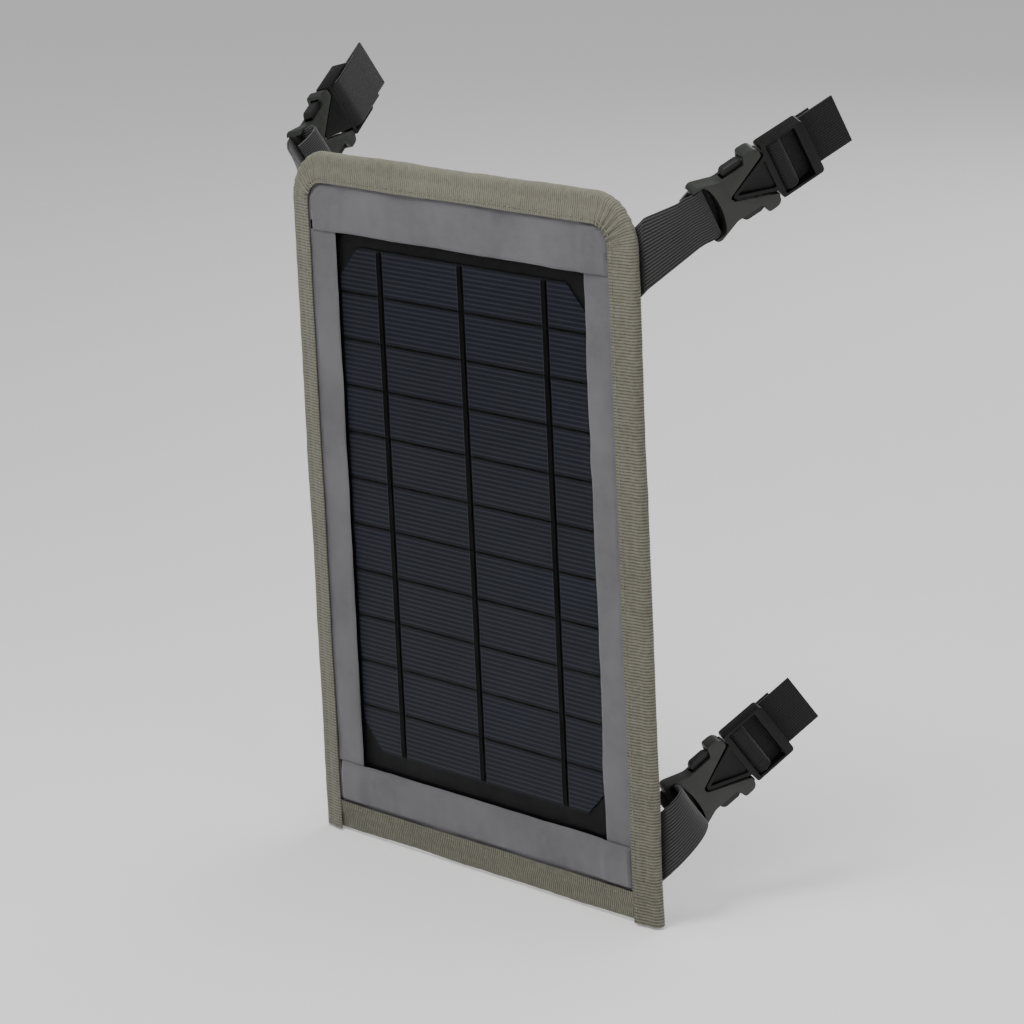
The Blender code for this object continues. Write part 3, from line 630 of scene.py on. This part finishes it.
def arch_path(step):
    """The main tape's path, up the right side, over the top, down the left: (point, outward, distance)."""
    r = CORNER_R
    cx, cz = HALF_W - r, TOP - r
    side = cz - BOTTOM
    quarter = math.pi / 2 * r
    across = 2 * cx
    total = 2 * side + 2 * quarter + across
    rows = []
    for s in np.linspace(0, total, round(total / step) + 1):
        if s <= side:
            rows.append(((HALF_W, BOTTOM + s), (1, 0), s))
        elif s <= side + quarter:
            a = (s - side) / r
            rows.append(((cx + r * math.cos(a), cz + r * math.sin(a)), (math.cos(a), math.sin(a)), s))
        elif s <= side + quarter + across:
            rows.append(((cx - (s - side - quarter), TOP), (0, 1), s))
        elif s <= side + 2 * quarter + across:
            a = math.pi / 2 + (s - side - quarter - across) / r
            rows.append(((-cx + r * math.cos(a), cz + r * math.sin(a)), (math.cos(a), math.sin(a)), s))
        else:
            rows.append(((-HALF_W, cz - (s - side - 2 * quarter - across)), (-1, 0), s))
    return rows


def tape(name, rows, front, rear, taper, seed, corners=True):
    """The folded binding tape along a path, with cross ribs, a wavy edge and gathers round the corners."""
    line = tape_section(front, rear, BINDING_W, taper)
    length = np.concatenate([[0], np.cumsum(np.linalg.norm(np.diff(line, axis=0), axis=1))])
    tangent = np.gradient(line, axis=0)
    normal = np.stack([-tangent[:, 1], tangent[:, 0]], 1)
    normal /= np.linalg.norm(normal, axis=1)[:, None]
    inner_line = line + normal * TAPE_T
    if inner_line[len(line) // 2, 0] < line[len(line) // 2, 0]:
        normal = -normal
        inner_line = line + normal * TAPE_T
    size = len(line)
    sections = np.zeros((len(rows), 2 * size, 3))
    uvs = np.zeros((len(rows), 2 * size, 2))
    for i, ((px, pz), (ox, oz), s) in enumerate(rows):
        wave = 0.55 * MM * ripple(s, 0, 34 * MM, seed) + 0.22 * MM * ripple(s, 0, 8 * MM, seed + 1)
        depth = 0.17 * MM * (1 + 0.7 * ripple(s, 0, 3 * MM, seed + 7))
        rib = depth * (abs(math.sin(math.pi * s / RIB_PITCH)) - 0.6)
        turning = corners and 0.05 < math.atan2(oz, abs(ox)) < math.pi / 2 - 0.05
        swell = 0.22 * MM * ripple(s, 0, 22 * MM, seed + 2)
        inner_wave = 0.35 * MM * ripple(s, 0, 30 * MM, seed + 4) + 0.1 * MM * ripple(s, 0, 5 * MM, seed + 5)
        for j in range(size):
            d, y = line[j]
            share = d / BINDING_W
            out = wave * (1 - share) ** 1.5 - inner_wave * share
            bulge = rib
            if turning:
                pleat = math.sin(math.tau * s / (4.4 * MM) + 2 * ripple(s, 0, 9 * MM, seed + 9))
                turn = min(1, max(0, math.atan2(oz, abs(ox)) / (math.pi / 2)))
                bulge += pleat * 0.45 * MM * (0.25 + share) * math.sin(math.pi * turn)
            inward = 1 if y < (front + rear) / 2 else -1
            y_swell = swell * math.sin(math.pi * share) * -inward
            nd, ny = -normal[j]
            dip = DIP_DEPTH * math.exp(-((d - DIP_AT) / DIP_WIDTH) ** 2) * inward
            dd, yy = d + nd * bulge - out, y + ny * bulge + y_swell + dip
            sections[i, j] = (px - ox * dd, yy, pz - oz * dd)
            di, yi = inner_line[j]
            di -= out
            sections[i, 2 * size - 1 - j] = (px - ox * di, yi + y_swell, pz - oz * di)
            uvs[i, j] = (s, length[j])
            uvs[i, 2 * size - 1 - j] = (s, length[j] + TAPE_UV_OFFSET)
    return swept(name, sections, "tape", uvs)


def stitch_mesh(name, places, look, length=2.1 * MM, radius=0.21 * MM):
    """Sewn stitches: a short lens of thread at each (point, direction, normal)."""
    verts, faces, uvs = [], [], []
    ring = 6
    profile = [(-0.5, 0.0), (-0.36, 0.75), (0.0, 1.0), (0.36, 0.75), (0.5, 0.0)]
    for point, along, normal in places:
        point = Vector(point)
        along = Vector(along).normalized()
        normal = Vector(normal).normalized()
        side = along.cross(normal)
        base = len(verts)
        verts.append(point + along * profile[0][0] * length - normal * radius * 0.6)
        for a, r in profile[1:-1]:
            for k in range(ring):
                t = math.tau * k / ring
                spoke = side * math.cos(t) + normal * math.sin(t)
                verts.append(point + along * a * length + spoke * r * radius)
        verts.append(point + along * profile[-1][0] * length - normal * radius * 0.6)
        last = len(verts) - 1
        for k in range(ring):
            n = (k + 1) % ring
            faces.append((base, base + 1 + n, base + 1 + k))
            for row in range(len(profile) - 3):
                a = base + 1 + row * ring
                faces.append((a + k, a + n, a + ring + n, a + ring + k))
            a = base + 1 + (len(profile) - 3) * ring
            faces.append((a + k, a + n, last))
        uvs += [(v.x + v.y, v.z) for v in verts[base:]]
    return new_piece(name, verts, faces, look, uvs)


def make_bindings():
    rows = arch_path(ROW_STEP)
    main = tape("binding_tape_main", rows, FRONT, REAR, TAPER, 31)
    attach(main, "panel")
    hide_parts("binding_main")
    reach = HALF_W - BINDING_W + 3 * MM
    span = np.linspace(-reach, reach, round(2 * reach / ROW_STEP) + 1)
    low_rows = [((x, BOTTOM), (0, -1), x + reach) for x in span]
    low_front, low_rear = FRONT + TAPE_T + LOW_TAPE_GAP, REAR - TAPE_T - LOW_TAPE_GAP
    low = tape("binding_tape_bottom", low_rows, low_front, low_rear, TAPER, 47, corners=False)
    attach(low, "panel")
    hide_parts("binding_bottom")

    for face, y, inward in (("front", FRONT - STITCH_PROUD, 1), ("rear", REAR + STITCH_PROUD, -1)):
        normal = (0, -inward, 0)
        places = []
        inset = BINDING_W - STITCH_INSET
        step = STITCH_PITCH / ROW_STEP
        for k in range(1, int(len(rows) / step)):
            (px, pz), (ox, oz), s = rows[round(k * step)]
            shift = 0.25 * MM * ripple(s, 0, 20 * MM, 61)
            at = (px - ox * (inset + shift), y, pz - oz * (inset + shift))
            if -reach < at[0] < reach or abs(ox) > 0.5:
                places.append((at, (-oz, STITCH_ACROSS, ox), normal))
        for k in range(1, int(2 * (reach - STITCH_START) / STITCH_PITCH)):
            x = -reach + STITCH_START + k * STITCH_PITCH
            y_low = y + (TAPE_T + 0.1 * MM) * inward
            z_low = BOTTOM + inset + 0.2 * MM * ripple(x, 0, 20 * MM, 62)
            places.append(((x, y_low, z_low), (1, STITCH_ACROSS, 0), normal))
        piece = stitch_mesh(f"binding_stitches_{face}", places, "thread")
        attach(piece, "panel")


# --- Hard parts: the frame's own solids with their edges broken ---------------------------------
def prism(outline, z0, z1, place):
    """A closed cutting tool: an outline in millimetres in a buckle's frame, between two heights."""
    mesh = bpy.data.meshes.new("tool")
    count = len(outline)
    verts = [place @ Vector((x * MM, y * MM, z * MM)) for z in (z0, z1) for x, y in outline]
    faces = [tuple(range(count)), tuple(range(count, 2 * count))]
    faces += [(i, (i + 1) % count, count + (i + 1) % count, count + i) for i in range(count)]
    mesh.from_pydata([tuple(v) for v in verts], [], faces)
    bm = bmesh.new()
    bm.from_mesh(mesh)
    bmesh.ops.recalc_face_normals(bm, faces=bm.faces)
    bm.to_mesh(mesh)
    bm.free()
    tool = bpy.data.objects.new("tool", mesh)
    bpy.context.scene.collection.objects.link(tool)
    return tool


def refined(node, body, look, width, segments=3, tools=()):
    """A copy of a CAD solid with clean flat faces, cut by tools, and with rounded edges."""
    mesh = frame["nodes"][node].data.copy()
    bm = bmesh.new()
    bm.from_mesh(mesh)
    bmesh.ops.remove_doubles(bm, verts=bm.verts, dist=1e-6)
    bmesh.ops.dissolve_limit(bm, angle_limit=math.radians(1.5), verts=bm.verts, edges=bm.edges)
    bm.to_mesh(mesh)
    bm.free()
    mesh.materials.clear()
    mesh.materials.append(looks[look])
    obj = bpy.data.objects.new(f"{node}_body", mesh)
    bpy.context.scene.collection.objects.link(obj)
    for tool in tools:
        cutter = obj.modifiers.new("cut", "BOOLEAN")
        cutter.operation = "DIFFERENCE"
        cutter.solver = "EXACT"
        cutter.object = tool
    bevel = obj.modifiers.new("edges", "BEVEL")
    bevel.width = width
    bevel.segments = segments
    bevel.limit_method = "ANGLE"
    bevel.angle_limit = math.radians(40)
    graph = bpy.context.evaluated_depsgraph_get()
    final = bpy.data.meshes.new_from_object(obj.evaluated_get(graph))
    obj.modifiers.clear()
    obj.data = final
    for tool in tools:
        bpy.data.objects.remove(tool)
    final.shade_smooth()
    final.set_sharp_from_angle(angle=math.radians(32))
    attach(obj, body)
    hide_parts(node)


def dress(node, look):
    """Gives a CAD solid that keeps its shape a better material."""
    mesh = frame["nodes"][node].data
    mesh.materials.clear()
    mesh.materials.append(looks[look])
    mesh.shade_smooth()
    mesh.set_sharp_from_angle(angle=math.radians(30))


# --- Corners: straps, buckles, tails ------------------------------------------------------------
CORNER_NAMES = [f"{end}_{hand}" for end in ("top", "bottom") for hand in ("right", "left")]


def joint(name):
    return next(j for j in frame["joints"] if j["name"] == name)


def corner_frame(name):
    """The buckle's own frame, read from its joints: x along it, y across it, z out of its front."""
    along = Vector(joint(f"release_{name}")["axis"]).normalized()
    upper = Vector(joint(f"pinch_{name}")["pos_m"])
    lower = Vector(joint(f"pinch_lower_{name}")["pos_m"])
    side = 1 if name.endswith("right") else -1
    across = (upper - lower).normalized()
    out = along.cross(across) * side
    m = Matrix((along, across, out)).transposed().to_4x4()
    m.translation = (upper + lower) / 2 - along * PRONG_ALONG
    return m


def web_sections(path, halves):
    """Sections of flat ribbed webbing along points, with the half-width vector at each."""
    path = [Vector(p) for p in path]
    count = WEB_RIBS * POINTS_PER_RIB
    sections, uvs = [], []
    travelled = 0.0
    for i, (point, half) in enumerate(zip(path, halves)):
        before = path[max(0, i - 1)]
        after = path[min(len(path) - 1, i + 1)]
        if i:
            travelled += (point - before).length
        along = (after - before).normalized()
        normal = along.cross(half).normalized()
        ring, ring_uv = [], []
        for sign in (1, -1):
            for k in range(count + 1):
                t = 2 * k / count - 1
                t = t if sign > 0 else -t
                rib = RIB_DEPTH * (abs(math.cos(math.pi * WEB_RIBS * (t + 1) / 2)) - 1)
                shoulder = min(1.0, (1 - abs(t)) / 0.035)
                height = (WEB_T / 2 + rib) * (0.45 + 0.55 * math.sqrt(shoulder))
                ring.append(point + half * t + normal * height * sign)
                ring_uv.append((travelled, (t + 1) * WEB_W / 2 + (0 if sign > 0 else WEB_UV_OFFSET)))
        sections.append(ring)
        uvs.append(ring_uv)
    return np.array([[tuple(v) for v in ring] for ring in sections]), np.array(uvs)


def smooth_path(points):
    """Evenly spaced points along a Catmull-Rom curve through points, and the distance to each."""
    pts = [points[0] * 2 - points[1], *points, points[-1] * 2 - points[-2]]
    fine = []
    for a, b, c, d in zip(pts, pts[1:], pts[2:], pts[3:]):
        for k in range(24):
            t = k / 24
            fine.append(0.5 * (2 * b + (c - a) * t + (2 * a - 5 * b + 4 * c - d) * t * t
                               + (3 * b - a - 3 * c + d) * t ** 3))
    fine.append(points[-1])
    lengths = np.concatenate([[0], np.cumsum([(q - p).length for p, q in zip(fine, fine[1:])])])
    travelled = np.linspace(0, lengths[-1], max(8, round(lengths[-1] / WEB_STEP)))
    result = []
    for s in travelled:
        i = min(len(fine) - 2, int(np.searchsorted(lengths, s, side="right")) - 1)
        t = (s - lengths[i]) / max(1e-12, lengths[i + 1] - lengths[i])
        result.append(fine[i].lerp(fine[i + 1], t))
    return result, list(travelled)


def arc_local(centre, radius, start, end, steps):
    angles = [math.radians(start + (end - start) * k / steps) for k in range(steps + 1)]
    return [Vector((centre[0] + radius * math.cos(t), 0.0, centre[1] + radius * math.sin(t))) for t in angles]


def bezier(p0, p1, p2, p3, t):
    r = 1 - t
    return r ** 3 * p0 + 3 * r * r * t * p1 + 3 * r * t * t * p2 + t ** 3 * p3


def side_points(*places):
    """Points in a buckle's own frame from (x, z) in millimetres, seen from its side."""
    return [Vector((x * MM, 0, z * MM)) for x, z in places]


def slack_bight(x_in, x_end, z_end):
    """The webbing behind the slot: down through it, forward under the buckle and back to the panel."""
    return side_points((x_in, -2.4), (x_in + 1.2, -4.2), (8.0, -4.8), (8.5, -5.6), (6.6, -6.1), (1.0, -4.9),
                       (x_end, z_end))


def make_strap(name):
    """Webbing from its sewn tab on the panel's back, out past the edge and down into the buckle's slot.

    An upper strap goes round the buckle's bar first. A lower one bulges forward and dips straight in."""
    end, hand = name.split("_")
    side = 1 if hand == "right" else -1
    m = corner_frame(name)
    fold = Vector(joint(f"fold_{name}")["pos_m"])
    across = m.col[1].to_3d() * WEB_W / 2
    out = m.col[2].to_3d()
    lean = Vector((side * math.cos(STRAP_SLOPE), 0, math.sin(STRAP_SLOPE)))
    flat = Vector((0, 0, WEB_W / 2 / math.cos(STRAP_SLOPE)))
    behind = REAR + WEB_T / 2 + 0.25 * MM
    edge = Vector((fold.x - side * MM, behind, fold.z))
    tab = [edge - lean * d * MM for d in (24, 18, 12, 6, 2)]
    if end == "top":
        local = side_points((-3.2, 1.9), (-1.2, 2.5))
        near = m @ local[0]
        run = [edge.lerp(near, t) for t in (0.25, 0.5, 0.75)]
        local += arc_local((1.3 * MM, 0.0), 2.8 * MM, 88, 0, 5)
        local += slack_bight(4.3, -3.8, -2.7)
        turn_length = 20 * MM
    else:
        local = side_points((5.6, 4.6), (5.5, 2.0))
        local += slack_bight(5.3, -3.5, -2.8)
        start = m @ local[0]
        run = [bezier(edge, edge + lean * 6 * MM, start + out * 8 * MM, start, t)
               for t in (0.15, 0.3, 0.45, 0.6, 0.75, 0.9)]
        turn_length = 22 * MM
    path, travelled = smooth_path([*tab, edge, *run, *[m @ p for p in local]])
    last = travelled[-1]
    halves = []
    for s in travelled:
        half = flat.lerp(across, min(1.0, max(0.0, (s - TAB_LENGTH) / turn_length)))
        bunched = float(smoothstep(s, last - 17 * MM, last - 10 * MM))
        halves.append(half * (1 - 0.20 * bunched))
    sections, uvs = web_sections(path, halves)
    piece = swept(f"strap_webbing_{name}", sections, "webbing", uvs)
    start = Vector((fold.x, behind, fold.z))
    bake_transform(piece)
    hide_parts(f"strap_{name}")
    sew_tab(name, edge, lean)


def sew_tab(name, edge, lean):
    """The box of stitches with a cross in it that holds a strap's tab."""
    places = []
    up = lean.cross(Vector((0, 1, 0))).normalized()
    centre = edge - lean * 15 * MM + Vector((0, WEB_T / 2, 0))
    half_l, half_h = 7 * MM, 8 * MM
    signs = ((-1, -1), (1, -1), (1, 1), (-1, 1))
    corners = [centre + lean * a * half_l + up * b * half_h for a, b in signs]
    runs = [(corners[i], corners[(i + 1) % 4]) for i in range(4)]
    runs += [(corners[0], corners[2]), (corners[1], corners[3])]
    for a, b in runs:
        count = max(2, round((b - a).length / TAB_STITCH_PITCH))
        for k in range(count):
            places.append((a.lerp(b, (k + 0.5) / count), b - a, (0, 1, 0)))
    stitches = stitch_mesh(f"strap_stitches_{name}", places, "dark_thread", 2.0 * MM, 0.24 * MM)
    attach(stitches, "panel")


def make_tail(name):
    """The pack's webbing: in from the seam, round the male half's middle bar and back under itself."""
    m = corner_frame(name)
    across = m.col[1].to_3d() * WEB_W / 2
    round_bar = arc_local((38.3 * MM, 0), 3.05 * MM, -4, 230, 10)
    local = side_points((68, -2.0), (61, -2.0), (54, -2.0), (49, -2.0), (46.4, -1.4))
    local += [Vector((v.x - 0.35 * MM, 0, v.z * 0.85)) for v in round_bar]
    local += side_points((39.1, -3.45), (43, -3.75), (51, -3.8), (58, -3.8))
    path, travelled = smooth_path([m @ p for p in local])
    sections, uvs = web_sections(path, [across] * len(path))
    piece = swept(f"tail_webbing_{name}", sections, "tail_webbing", uvs)
    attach(piece, f"male_{name}")
    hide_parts(f"tail_{name}")


def make_corner(name):
    make_strap(name)
    m = corner_frame(name)
    recess = prism([(16.0, 0), (30.6, 6.35), (31.6, 6.35), (31.6, -6.35), (30.6, -6.35)], 1.9, 5.0, m)
    refined(f"buckle_female_{name}", f"strap_{name}", "grey_plastic", 0.75 * MM, 4)
    refined(f"buckle_male_{name}", f"male_{name}", "black_plastic", 0.4 * MM, tools=[recess])
    for label in ("upper", "lower"):
        prong = f"prong_{label}_{name}"
        refined(prong, prong, "knob_plastic", 0.5 * MM)
    make_tail(name)


def make_hard_parts():
    for row in range(1, 12):
        dress(f"cell_{row:02d}", "cell")
    for label in ("left", "centre", "right"):
        dress(f"bus_ribbon_{label}", "ribbon")
    dress("front_film", "film")
    dress("back_board", "board")
    dress("foam_pad", "foam")
    dress("regulator_board", "circuit")
    dress("regulator_inductor", "black_plastic")
    dress("cell_lead", "rubber")
    dress("junction_box_gasket", "rubber")
    dress("usb_socket_tongue", "white_plastic")
    dress("charge_light_lens", "red_lens")
    refined("junction_box_base", "panel", "black_plastic", 0.4 * MM)
    refined("junction_box_lid", "panel", "black_plastic", 0.5 * MM)
    for label in ("left", "right"):
        dress(f"junction_box_screw_{label}", "steel")
    dress("usb_socket_shell", "steel")


# --- Studio -------------------------------------------------------------------------------------
def make_camera(scene):
    data = bpy.data.cameras.new("camera")
    data.lens = CAMERA_LENS
    data.sensor_width = SENSOR_W
    camera = bpy.data.objects.new("camera", data)
    scene.collection.objects.link(camera)
    ahead = (CAMERA_TARGET - CAMERA_PLACE).normalized()
    right = ahead.cross(CAMERA_UP).normalized()
    up = right.cross(ahead)
    turned = Matrix((right, up, -ahead)).transposed().to_4x4()
    camera.matrix_world = Matrix.Translation(CAMERA_PLACE) @ turned
    scene.camera = camera


def make_floor(scene):
    mesh = bpy.data.meshes.new("floor")
    bm = bmesh.new()
    bmesh.ops.create_grid(bm, x_segments=1, y_segments=1, size=6.0)
    bm.to_mesh(mesh)
    bm.free()
    floor = bpy.data.objects.new("floor", mesh)
    floor.location = (0, 0, cad_box[0][2] - MM)
    n = Nodes("pale_floor")
    speck = n.noise(n.place(), 40.0, 3.0)
    n.colour(n.mix(speck, (0.86, 0.86, 0.86), (0.90, 0.90, 0.90)))
    n.set(Roughness=0.9, Emission_Color=(1.0, 1.0, 1.0, 1.0), Emission_Strength=0.26)
    mesh.materials.append(n.mat)
    scene.collection.objects.link(floor)


def make_lights(scene):
    world = bpy.data.worlds.new("studio")
    world.use_nodes = True
    sky = world.node_tree.nodes["Background"].inputs
    sky["Color"].default_value = (1.0, 1.0, 1.0, 1.0)
    sky["Strength"].default_value = 0.28
    scene.world = world
    lights = (  # name, place, disk size, watts
        ("key", (0.12, -0.36, 0.68), 0.4, 4.6),
        ("side", (1.6, -0.3, 0.9), 0.9, 4.8),
        ("top", (0.1, 0.5, 1.5), 1.2, 7.8),
        ("back", (-0.6, 1.6, 0.9), 1.0, 8.0),
    )
    for label, place, size, power in lights:
        light = bpy.data.lights.new(label, "AREA")
        light.shape = "DISK"
        light.size = size
        light.energy = power
        obj = bpy.data.objects.new(label, light)
        obj.location = place
        obj.rotation_euler = (-Vector(place)).to_track_quat("-Z", "Y").to_euler()
        scene.collection.objects.link(obj)


studio = bpy.context.scene
make_camera(studio)
make_floor(studio)
make_lights(studio)
make_frame_strips()
make_back_cover()
make_bindings()
make_hard_parts()
for corner_name in CORNER_NAMES:
    make_corner(corner_name)
